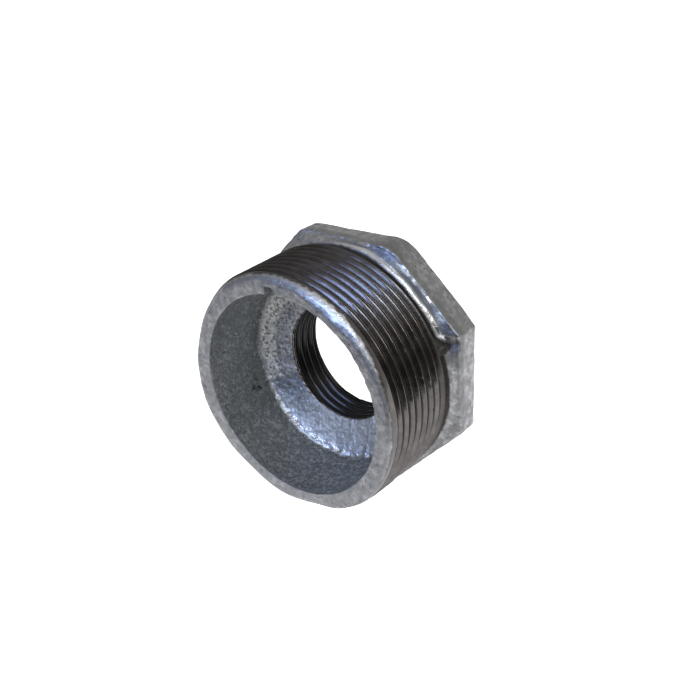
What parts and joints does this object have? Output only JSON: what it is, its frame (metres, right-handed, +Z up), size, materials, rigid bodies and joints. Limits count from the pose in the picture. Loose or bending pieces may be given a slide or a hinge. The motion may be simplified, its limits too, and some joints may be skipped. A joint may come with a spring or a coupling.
{
  "type": "concentric reducing bush",
  "caption": "Malleable iron pipe reducing bush: octagon collar, taper male thread outside, smaller female thread on the same axis inside, and a cored recess in the male end.",
  "frame": {"origin": "centre of the bounding box, which lies on the pipe axis halfway along the length", "axes": "+Y along the pipe axis from the male end to the collar's back face, +Z up out of one collar flat, +X to the right seen from the male end"},
  "size_m": [0.0616, 0.0314, 0.0616],
  "materials": {
    "galvanised_iron": "hot-dip galvanised casting with a sand-cast grain, and bare dark threads cut after the zinc"
  },
  "bodies": {
    "root": {"reducing_bush": "galvanised_iron"}
  },
  "joints": []
}
